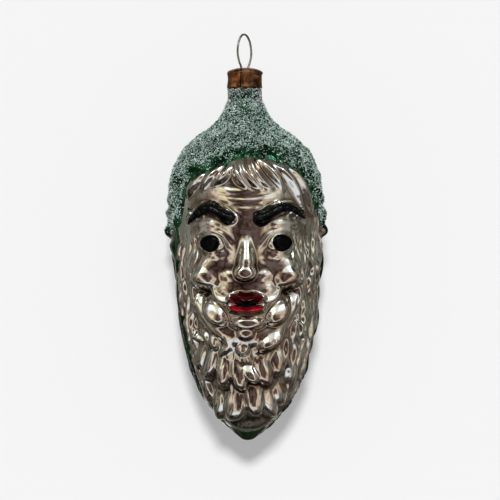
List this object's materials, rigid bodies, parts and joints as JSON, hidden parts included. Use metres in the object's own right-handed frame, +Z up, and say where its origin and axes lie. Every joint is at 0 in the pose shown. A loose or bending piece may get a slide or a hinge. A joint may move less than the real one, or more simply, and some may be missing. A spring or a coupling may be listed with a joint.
{
  "type": "santa pinecone ornament",
  "caption": "Mould-blown glass tree ornament: a bearded face on the front of a hanging pinecone, with a crushed-glass hood, a spring cap and a wire loop.",
  "frame": {"origin": "inside top of the wire loop, where a hook carries the ornament", "axes": "+Z up along the hanging ornament, the face looks along -Y, +X to the face's own left"},
  "size_m": [0.048, 0.046, 0.1184],
  "materials": {
    "silvered_glass": "polished",
    "silver_film": "polished",
    "green_lacquer": "gloss",
    "crushed_glass": "satin",
    "black_enamel": "gloss",
    "red_enamel": "gloss",
    "cap_metal": "satin",
    "wire_steel": "satin"
  },
  "bodies": {
    "hanger": {"hanger_wire": "wire_steel"},
    "cap": {"spring_cap": "cap_metal"},
    "glass": {"glass_body": "silvered_glass", "silver_lining": "silver_film", "green_lacquer": "green_lacquer", "frost_coat": "crushed_glass", "left_brow_paint": "black_enamel", "right_brow_paint": "black_enamel", "left_eye_paint": "black_enamel", "right_eye_paint": "black_enamel", "upper_lip_paint": "red_enamel", "lower_lip_paint": "red_enamel"}
  },
  "joints": [
    {"name": "hanger_tilt", "type": "hinge", "parent": "hanger", "child": "cap", "pos_m": [0, 0, -0.0094], "axis": [0.5736, 0.8192, 0], "range_deg": [-6, 6]},
    {"name": "glass_pull", "type": "slide", "parent": "cap", "child": "glass", "axis": [0, 0, -1], "range_m": [0, 0.014]}
  ]
}
